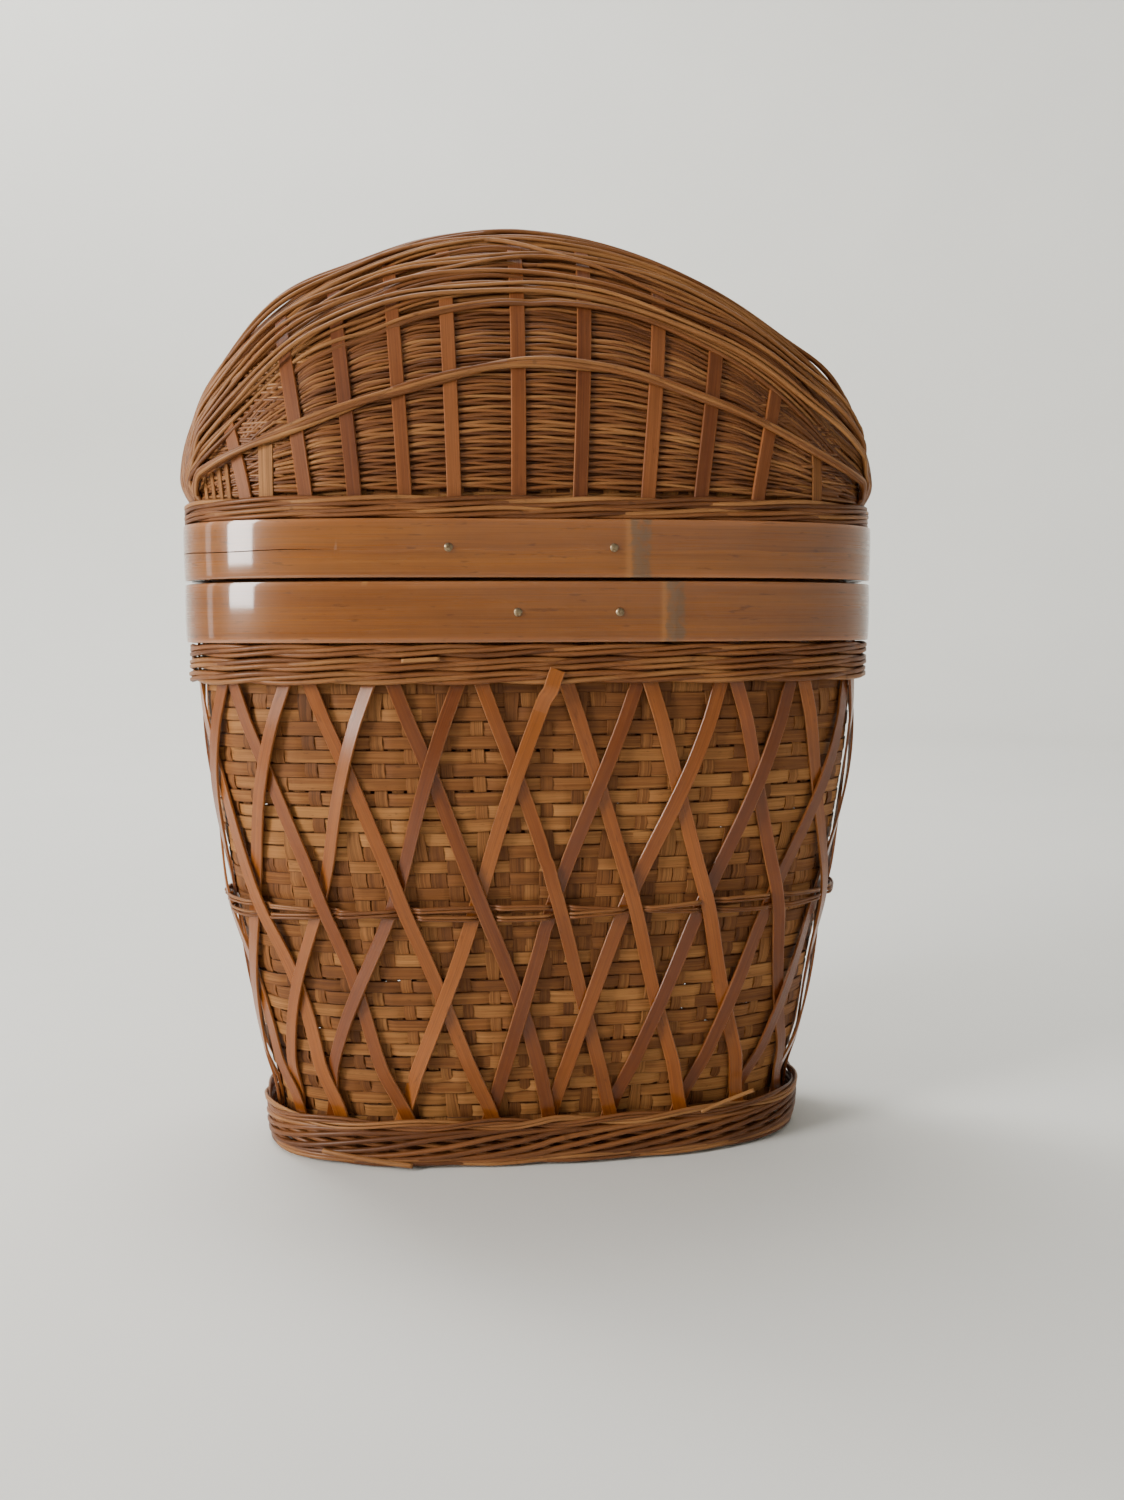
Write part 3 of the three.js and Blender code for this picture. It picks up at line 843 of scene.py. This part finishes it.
def new_object(name, points, faces, material):
    mesh = bpy.data.meshes.new(name)
    mesh.from_pydata(points, [], faces)
    mesh.shade_smooth()
    mesh.materials.append(material)
    made = bpy.data.objects.new(name, mesh)
    bpy.context.scene.collection.objects.link(made)
    return made


NAIL_RISE, NAIL_BACK, NAIL_DENT = 0.7, 2.6, 0.02
# a nail head's section: shares of its radius, and heights above the hoop's face
NAIL_SECTION = ((0.3, NAIL_RISE * 0.96), (0.55, NAIL_RISE * 0.84), (0.78, NAIL_RISE * 0.6),
                (0.93, NAIL_RISE * 0.3), (1.0, 0.08), (0.98, -0.04), (0.45, -0.1))


def nail(name, node, body):
    """A domed nail head, slightly off round, standing on the face of its hoop."""
    low, high = box_mm(node)
    radius, sides = (high[0] - low[0]) / 2, 28
    x, z = (low[0] + high[0]) / 2, (low[2] + high[2]) / 2
    points = [(x, low[1], z)]
    for share, height in NAIL_SECTION:
        for turn in np.arange(sides) * 2 * math.pi / sides:
            reach = radius * share * (1 + NAIL_DENT * math.sin(3 * turn + x))
            points.append((x + reach * math.cos(turn), low[1] + NAIL_RISE - height,
                           z + reach * math.sin(turn)))
    points.append((x, low[1] + NAIL_BACK, z))
    points = [tuple(c * MM for c in point) for point in points]
    head = new_object(name, points, turned(sides, len(NAIL_SECTION), True), NAIL)
    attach(head, body)
    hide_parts(node)


def nails():
    for index in (1, 2):
        nail(f"basket_nail_head_{index}", f"body_nail_{index}", "basket")
        nail(f"lid_nail_head_{index}", f"lid_nail_{index}", "lid")


# ---------------------------------------------------------------- the base
def base(rng):
    """A plain-woven panel of flat strips across the bottom."""
    low, high = box_mm("base_panel")
    middle = (low[2] + high[2]) / 2
    a, b, power = outline(middle, 10.4 + TUCK_DEPTH)
    pitch, width, wave = 7.0, 6.3, 0.45
    piece = Piece("base_strips")
    for axis, reach, other in ((0, a, b), (1, b, a)):
        count = int(other / pitch)
        for line in range(-count, count + 1):
            half = reach * max(1 - abs(line * pitch / other) ** power, 0) ** (1 / power)
            if half < pitch:
                continue
            at = np.arange(-half, half, pitch / 4)
            sign = (-1) ** (line + axis)
            z = middle + wave * sign * np.cos(math.pi * at / pitch)
            path = np.zeros((len(at), 3))
            path[:, axis], path[:, 1 - axis], path[:, 2] = at, line * pitch, z
            normals = np.tile([0.0, 0.0, -1.0], (len(at), 1))
            piece.add(path, normals, flat_section(width, SPLIT_THICK), rng.uniform(0, 1))
    piece.build(WALL_STRIP, "basket", "split_weave", "base_panel")


# ---------------------------------------------------------------- the lid
RIB_FAN, RIB_DRIFT = 0.17, 0.012
RIB_WIDTH, RIB_THICK, RIB_INSET = 5.5, 1.2, 3.8
STAKE_INSET, STAKE_THICK = 7.0, 0.8
LID_CANE_PITCH = 1.5
RIDGE_ANGLE = 38.5


def angle_at(height):
    """The dome's angle at a height above its base, at the middle of the lid."""
    return np.degrees(np.arcsin(np.clip(height / DOME_HEIGHT, 0, 1) ** (CROWN_POWER / 2)))


def strap_path(x, inset, fan, low):
    """A strap over the dome: up behind the lid's hoop, across the crown and down again."""
    a, b = RIM_HALF_WIDTH - inset, RIM_HALF_DEPTH - inset
    start = share_at(x)
    x, y, _ = dome_shape(start, inset)
    legs = np.linspace(low, DOME_BASE - 3, 8)
    leg_x = x * (1 - fan * (DOME_BASE - legs) / DOME_HEIGHT)
    share_out = np.abs(leg_x / (a - DOME_INSET))
    leg_y = (b - DOME_INSET) * (1 - share_out**RIM_POWER) ** (1 / RIM_POWER)
    front = np.stack([leg_x, -leg_y, legs], -1)
    back = front[::-1] * np.array([1, -1, 1])
    angle = np.concatenate([np.linspace(2, 40, 20), np.linspace(44, 136, 24),
                            np.linspace(140, 178, 20)])
    lift = np.sin(np.radians(angle))
    share = start * (1 + fan * lift) + RIB_DRIFT * lift
    share = np.clip(share, -0.975, 0.975)
    over = dome_point(share, angle, inset)
    tilt = unit(np.array([(abs(x / a) ** 2) * np.sign(x) / a, -((y / b) ** 2) / b, 0]))
    front_normals = np.tile(tilt, (8, 1))
    back_normals = front_normals * np.array([1, -1, 1])
    path = np.concatenate([front, over, back])
    normals = np.concatenate([front_normals, dome_normal(share, angle), back_normals])
    return path, normals


def ribs(rng):
    piece = Piece("lid_ribs")
    for x in RIB_PLACES[:-1]:
        path, normals = strap_path(x, RIB_INSET, RIB_FAN, lid_hoop_low[2] + 1)
        width = RIB_WIDTH * rng.uniform(0.94, 1.04)
        piece.add(path, normals, flat_section(width, RIB_THICK), rng.uniform(0, 1))
    piece.build(RIB_STRIP, "lid", "lattice_strip", "lid_rib_cage")


def inner_stakes(rng):
    """Pale flat stakes inside the lid: behind each rib, between ribs and splayed at the ends."""
    piece = Piece("lid_inner_stakes")
    places = list(RIB_PLACES)
    between = [(a + b) / 2 for a, b in zip(places, places[1:])]
    ends = [sign * x for sign in (-1, 1) for x in (124, 130.5, 136)]
    for x in sorted(places + between + ends):
        path, normals = strap_path(x, STAKE_INSET, RIB_FAN, lid_hoop_low[2] + 0.6)
        width = 6.3 if abs(x) < 120 else 4.4
        piece.add(path, normals, flat_section(width, STAKE_THICK), rng.uniform(0.4, 1))
    piece.build(STAKE_STRIP, "lid", "cane_weft", "lid_weave")


def corner_stakes(rng):
    """Pale cut stakes that show low at the lid's corners, in front of the canes."""
    piece = Piece("lid_corner_stakes")
    splayed = [(x, 1.9, 9 + (x + 134) * 0.4) for x in np.arange(-134, -122, 3.3)]
    for x, width, tall in splayed + [(-108.5, 6.0, 19), (RIB_PLACES[-1] - 4, 4.6, 20)]:
        share = share_at(x)
        top = dome_shape(share, 4)[2]
        angle = np.linspace(0.5, math.degrees(math.asin((tall / top) ** (CROWN_POWER / 2))), 14)
        lean = np.linspace(0.004, -0.008, 14) * (width < 4)
        path, normals = dome_strand(share + lean, angle, 3.9, np.linspace(-3.5, 0, 14))
        for side in (1, -1):
            piece.add(*mirrored(path, normals, side), flat_section(width, STAKE_THICK),
                      rng.uniform(0.5, 1.0))
    piece.build(STAKE_STRIP, "lid", "cane_weft", "lid_rib_cage")


def dome_strand(share, angle, inset, rise=0.0):
    """Points and normals along the dome, shifted by rise millimetres up its surface."""
    path = dome_point(share, angle, inset)
    normals = dome_normal(share, angle)
    up = unit(dome_point(share, angle + 0.5, inset) - dome_point(share, angle - 0.5, inset))
    return path + up * np.reshape(rise, (-1, 1)), normals


def bay_phase(share, angle):
    """Whole numbers at the ribs, halves midway between them."""
    places = np.array([-149.0] + list(RIB_PLACES) + [149.0])
    return np.interp(share / (1 + RIB_FAN * np.sin(np.radians(angle))), share_at(places),
                     np.arange(len(places)))


def ridge_edge(share):
    """The angle where the ridge begins: high at the middle, low at the ends of the lid."""
    at = (-0.98, -0.9, -0.8, -0.66, -0.3, 0.3, 0.64, 0.8, 0.9, 0.98)
    edge = (10, 16, 24, 34, 38, 38.5, 33, 24, 17, 11)
    return soften(share, at, edge)


def band_angle(share):
    at = (-0.98, -0.8, -0.6, -0.3, 0.0, 0.3, 0.6, 0.8, 0.98)
    return soften(share, at, (7, 13, 15.5, 20.5, 24.5, 24, 19, 14, 8))


def soften(share, at, values):
    """Interpolates through the values, with rounded corners."""
    total = 0.0
    for shift in (-0.08, -0.04, 0, 0.04, 0.08):
        total = total + np.interp(share + shift, at, values)
    return total / 5


def row_angle(angle, share):
    """A row's angle along the lid: rows rise to the middle as the edge of the ridge does."""
    edge = ridge_edge(share)
    if angle < RIDGE_ANGLE:
        return angle * edge / RIDGE_ANGLE
    return angle - (RIDGE_ANGLE - edge) * (90 - angle) / (90 - RIDGE_ANGLE)


def lid_rows(rng, name, side):
    """Thin canes that crowd together in pairs behind each rib, and change partners between."""
    piece = Piece(name)

    def add(share, at, inset, rise, radius, sides, tone):
        piece.add(*mirrored(*dome_strand(share, at, inset, rise), side),
                  round_section(radius, sides), tone, scale=1 + wander(rng, share, 0.2, 0.09))

    for row, height in enumerate(np.arange(3.3, 76, LID_CANE_PITCH)):
        reach = min((0.975, 0.74, 0.88, 0.66)[row // 2 % 4] + rng.uniform(-0.03, 0.03), 0.975)
        share = reach * np.sin(np.linspace(-1.5, 1.5, 120)) / math.sin(1.5)
        at = row_angle(angle_at(height), share)
        phase = bay_phase(share, at)
        crowd = np.cos(math.pi * phase) * (1 if row % 2 else -1)
        rise = crowd * rng.uniform(0.38, 0.6) + wander(rng, share, 0.12, 0.2)
        inset = 4.95 + rng.uniform(0.2, 0.5) * np.cos(2 * math.pi * phase) + 0.2 * crowd
        inset = inset + wander(rng, share, 0.15, 0.16)
        inset = inset + 1.6 * smooth(reach - 0.02, reach, np.abs(share))
        add(share, at, inset, rise, rng.uniform(0.66, 0.86), 6, rng.uniform(0.05, 0.8))
        share = 0.96 * np.sin(np.linspace(-1.5, 1.5, 90))
        at = row_angle(angle_at(height), share)
        rise = LID_CANE_PITCH / 2 + wander(rng, share, 0.12, 0.15)
        add(share, at, 6.5, rise, 0.85, 5, rng.uniform(0.0, 0.25))
    for row, angle in enumerate(np.arange(angle_at(74), 90, 1.3)):
        share = np.linspace(-0.93, 0.93, 60)
        at = row_angle(angle, share)
        add(share, at, 5.4 + 1.2 * (row % 2), wander(rng, share, 0.15, 0.4), 0.98, 6,
            rng.uniform(0.1, 0.7))
    for height in (0.4, 1.9, 3.2):
        share = np.linspace(-0.95, 0.95, 90)
        add(share, row_angle(angle_at(height), share), 8.1, np.zeros(90), 0.85, 5, 0.0)
    piece.build(CANE, "lid", "cane_weft", "lid_weave")


def end_path(level, sign, start, inset):
    """The dome's outline at a height above its base, round one end from front to back."""
    top = 1.0
    if level > END_RISE:
        rise = (level - END_RISE) / (DOME_HEIGHT - END_RISE - inset)
        top = (1 - rise**ARCH_POWER) ** (1 / ARCH_POWER)
    share = sign * mix(start, top, np.sin(np.linspace(0, math.pi / 2, 90)))
    sine = np.clip(level / dome_shape(share, inset)[2], 0, 1) ** (CROWN_POWER / 2)
    front = dome_point(share, np.degrees(np.arcsin(sine)), inset)
    path = np.concatenate([front, front[-2::-1] * [1, -1, 1]])
    path = evenly(path, max(12, int(lengths_along(path)[-1] / 2)))
    return path, end_normals(path, sign)


def end_normals(path, sign):
    """Directions that face out round one end of the lid and slightly up."""
    return unit(np.stack([path[:, 0] - sign * 90, path[:, 1] * 1.3, np.full(len(path), 8.0)], -1))


def lid_ends(rng):
    """Rows of cane that carry on round both ends of the lid, over pale stakes."""
    rows, stakes = Piece("lid_end_canes"), Piece("lid_end_stakes")
    for sign in (-1, 1):
        for level in np.arange(1.2, 58, 2.4):
            for cane in (-1, 1):
                start = rng.uniform(0.66, 0.8) * (1 - level / 260)
                path, normals = end_path(level + cane * 0.5, sign, start, 5.0)
                place = np.arange(len(path))
                path = path + normals * np.reshape(wander(rng, place, 6, 0.35), (-1, 1))
                path[:, 2] += wander(rng, place, 8, 0.4)
                path[:3] -= normals[:3] * 1.4
                path[-3:] -= normals[-3:] * 1.4
                rows.add(path, normals, round_section(rng.uniform(0.64, 0.82), 6),
                         rng.uniform(0.2, 0.9), scale=taper(rng, len(path)))
        for y in np.linspace(-48, 48, 9):
            stakes.add(*end_stake(sign, y), flat_section(6.0, STAKE_THICK), rng.uniform(0.4, 1))
    rows.build(CANE, "lid", "cane_weft", "lid_weave")
    stakes.build(STAKE_STRIP, "lid", "cane_weft", "lid_weave")


def end_stake(sign, y, inset=6.9):
    """A stake that climbs one end of the lid in the plane of a given depth."""
    share = np.linspace(0.6, 1.0, 400)
    _, half_depth, height = dome_shape(sign * share, inset)
    inside = half_depth > abs(y)
    share, half_depth = sign * share[inside], half_depth[inside]
    cosine = np.clip(abs(y) / half_depth, 0, 1) ** (CROWN_POWER / 2)
    angle = np.degrees(np.arccos(cosine))
    path = dome_point(share, angle, inset) * [1, 1 if y < 0 else -1, 1]
    foot_point = path[-1] * [1, 1, 0] + [0, 0, lid_hoop_low[2] + 0.6]
    path = np.concatenate([path, [mix(path[-1], foot_point, 0.3), foot_point]])
    path = evenly(path, 40)
    return path, unit(path - np.array([sign * 60, 0, 262]))


def band(rng):
    """The canes that cross over the ribs half way up each side of the lid."""
    piece = Piece("lid_band")
    for side in (1, -1):
        for cane in range(4):
            t = np.linspace(-1, 1, 150)
            share = 0.985 * np.sin(t * math.pi / 2)
            at = band_angle(share)
            phase = bay_phase(share, at)
            twist = math.pi * (phase * 0.5 + (cane % 2))
            close = 0.35 + 0.65 * (1 - np.abs(share)) ** 0.4
            rise = (0.6 * np.cos(twist) + (0.8 if cane > 1 else -0.8)) * close
            rise = rise + wander(rng, share, 0.2, 0.35)
            inset = 2.3 - 0.5 * np.sin(twist)
            path, normals = tucked(*dome_strand(share, at, inset, rise), LOW_FAN)
            piece.add(*mirrored(path, normals, side), round_section(1.0, 7),
                      rng.uniform(0.3, 0.8), scale=taper(rng, len(path)))
    piece.build(CANE, "lid", "cane_weft", "lid_rib_cage")


def bumps(share, *places):
    """The sum of bells, each given as its middle, width and height."""
    return sum(height * bell(share, at, width) for at, width, height in places)


def slack(share):
    """Where the bundle sinks and leaves its outermost canes standing clear."""
    return bumps(share, (-0.72, 0.16, 1.6), (-0.42, 0.07, 1.2), (0.02, 0.05, 1.0),
                 (0.87, 0.07, 2.2))


def stray(share):
    """How far the loosest canes stand off the bundle."""
    return bumps(share, (-0.68, 0.15, 4.4), (0.86, 0.08, 4.2), (-0.3, 0.1, 0.4))


# Where a strand leaves the dome to drop down an end, how much a low one turns in, how far from
# the middle it may end, how far it stands out, and its least distance inside the rim.
END_START, LOW_FAN, END_REACH, END_BULGE, END_GAP = 0.9, 0.72, 48, 3.0, 1.06


def end_share(y, height, inset, sign):
    """How far along the lid its surface passes through a given depth and height."""
    low, high = np.full(len(y), 0.5), np.ones(len(y))
    for _ in range(24):
        share = (low + high) / 2
        _, half_depth, top = dome_shape(sign * share, inset)
        outside = ((np.abs(y) / np.maximum(half_depth, 1e-6)) ** CROWN_POWER
                   + (height / top) ** CROWN_POWER) > 1
        low, high = np.where(outside, low, share), np.where(outside, share, high)
    return sign * (low + high) / 2


def end_drop(last, before, fan, shift):
    """Carries a strand from the lid's shoulder down round its end, behind the skirt weft.

    A strand that comes from low on the shoulder keeps turning in. One from high up fans out.
    """
    sign = math.copysign(1, last[0])
    u = np.linspace(0, 1, 26)
    z = mix(last[2], DOME_BASE - 5.0, u)
    lean = np.clip((last[1] - before[1]) / min(last[2] - before[2], -0.2), -1.5, 1.5)
    slope = 0.6 * lean * (z[-1] - z[0])
    high = smooth(12, 45, last[2] - DOME_BASE)
    target = mix(LOW_FAN * last[1], last[1] * fan + shift, high)
    target = np.clip(target, -END_REACH, END_REACH)
    y = (last[1] * (1 + 2 * u) * (1 - u) ** 2 + slope * u * (1 - u) ** 2
         + target * u**2 * (3 - 2 * u))
    height = np.maximum(z - DOME_BASE, 0)
    inset = 2.6 + 1.8 * smooth(6, -4, z - DOME_BASE)
    share = end_share(y, height, inset, sign)
    x, _, _ = dome_shape(share, inset)
    drop = np.stack([x, y, z], -1)
    drop += (last - drop[0]) * (1 - smooth(0, 0.35, u))[:, None]
    return drop[1:], end_normals(drop[1:], sign)


def tucked(path, normals, fan, shift=0.0):
    """Carries both ends of a dome strand down behind the skirt weft."""
    middle = np.abs(path[:, 0]) < END_START * RIM_HALF_WIDTH
    path, normals = path[middle], normals[middle]
    first, first_normals = end_drop(path[0], path[3], fan, shift)
    last, last_normals = end_drop(path[-1], path[-4], fan, -shift)
    path = np.concatenate([first[::-1], path, last])
    normals = np.concatenate([first_normals[::-1], normals, last_normals])
    rise = path[:, 2] - DOME_BASE
    near_end = smooth(100, 134, np.abs(path[:, 0])) * smooth(80, 10, rise) * smooth(-2, 10, rise)
    path[:, 0] += np.sign(path[:, 0]) * near_end * END_BULGE
    path[:, 0] = np.clip(path[:, 0], END_GAP - RIM_HALF_WIDTH, RIM_HALF_WIDTH - END_GAP)
    return path, normals


def ridge(rng):
    """The bundle of canes along the crown, wrapped down round both ends of the lid."""
    low, high = Piece("lid_ridge_lower"), Piece("lid_ridge_upper")
    parts = [(part, False) for part in np.arange(0, 1, 0.04)]
    parts += [(part, True) for part in np.arange(0.1, 1, 0.06)]
    for side in (1, -1):
        for part, outer in parts:
            t = np.linspace(-1, 1, 190)
            reach = rng.uniform(0.978, 0.993)
            share = reach * np.sin(t * math.pi / 2)
            drift = (0.02 + 0.1 * part) * (1.0 if outer else 0.55)
            level = np.clip(part + wander(rng, share, 0.35, drift), -0.03, 1.12)
            at = mix(ridge_edge(share), 90, level)
            fan, shift = rng.uniform(0.75, 1.3), rng.uniform(-5, 5)
            inset = (1.6 if outer else 3.1 + slack(share)) + wander(rng, share, 0.3, 0.5)
            inset = np.maximum(inset, 1.1) - (stray(share) * rng.uniform(0, 1) if outer else 0)
            path, normals = tucked(*dome_strand(share, at, inset), fan, shift)
            piece = high if outer else low
            piece.add(*mirrored(path, normals, side), round_section(rng.uniform(0.72, 0.98), 7),
                      rng.uniform(0.2, 0.9), scale=taper(rng, len(path)))
    low.build(CANE, "lid", "cane_weft", "lid_rib_cage")
    high.build(CANE, "lid", "cane_weft", "lid_rib_cage")


# ---------------------------------------------------------------- stage, light and camera
def backdrop():
    """A pale round floor that curves up into a wall all the way round the basket."""
    reach, bend, tall, sides = 2.1, 0.7, 2.6, 96
    profile = [(reach * t, 0.0) for t in (0.12, 0.3, 0.6, 1.0)]
    profile += [(reach + bend * math.sin(t), bend - bend * math.cos(t))
                for t in np.linspace(0.12, math.pi / 2, 14)]
    profile += [(reach + bend, tall)]
    turns = np.arange(sides) * 2 * math.pi / sides
    points = [(0.0, 0.0, 0.0)]
    points += [(r * math.cos(t), r * math.sin(t), z) for r, z in profile for t in turns]
    paint = plaster("backdrop", srgb(226, 225, 220), 3.0, 0.0006)
    new_object("backdrop", points, turned(sides, len(profile), False), paint)


def area_light(name, place, target, width, height, power, colour):
    data = bpy.data.lights.new(name, "AREA")
    data.shape, data.size, data.size_y = "RECTANGLE", width, height
    data.energy, data.color = power, colour
    light = bpy.data.objects.new(name, data)
    light.location = place
    light.rotation_euler = (Vector(target) - Vector(place)).to_track_quat("-Z", "Y").to_euler()
    bpy.context.scene.collection.objects.link(light)


def lighting():
    middle = (0.0, 0.0, 0.2)
    area_light("window", (-1.2, -0.62, 0.6), middle, 0.4, 0.7, 24, (1.0, 0.98, 0.95))
    area_light("window_frame", (-1.33, 0.02, 0.6), middle, 0.16, 1.0, 1.2, (1.0, 0.98, 0.95))
    area_light("ceiling", (-0.3, -0.4, 2.2), middle, 2.2, 2.0, 6.7, (1.0, 0.985, 0.96))
    area_light("front", (0.5, -2.4, 1.0), middle, 2.2, 1.6, 1.6, (1.0, 0.98, 0.95))
    area_light("wall_wash", (-0.8, 1.0, 2.4), (0, 2.2, 0.7), 2.6, 0.8, 97, (1.0, 1.0, 0.98))
    world = bpy.data.worlds.new("studio")
    world.use_nodes = True
    back = world.node_tree.nodes["Background"]
    back.inputs["Color"].default_value = (0.86, 0.88, 0.9, 1)
    back.inputs["Strength"].default_value = 0.14
    bpy.context.scene.world = world


def camera():
    """The photograph's viewing angle, fitted to the rims, the crown and the foot."""
    place = Vector((-47.27, -554.19, 220.86)) * MM
    forward = Vector((0.10734, 0.98953, -0.09644)).normalized()
    side = forward.cross(Vector((0, 0, 1))).normalized()
    up = side.cross(forward)
    roll = Matrix.Rotation(math.radians(-0.19), 3, "Z")
    turn = Matrix((side, up, -forward)).transposed() @ roll
    data = bpy.data.cameras.new("camera")
    data.sensor_width, data.lens = 36.0, 30.48
    data.clip_start = 0.01
    eye = bpy.data.objects.new("camera", data)
    eye.matrix_world = Matrix.Translation(place) @ turn.to_4x4()
    bpy.context.scene.collection.objects.link(eye)
    bpy.context.scene.camera = eye


def build():
    parts = (wall_wefts, wall_stakes, lattice, shoulder, waist, foot, hoops, base, skirt, ribs,
             inner_stakes, lid_ends, band, ridge, corner_stakes)
    for seed, part in enumerate(parts):
        part(np.random.default_rng(100 + seed))
    lid_rows(np.random.default_rng(200), "lid_canes_front", 1)
    lid_rows(np.random.default_rng(201), "lid_canes_back", -1)
    nails()


camera()
lighting()
backdrop()
build()
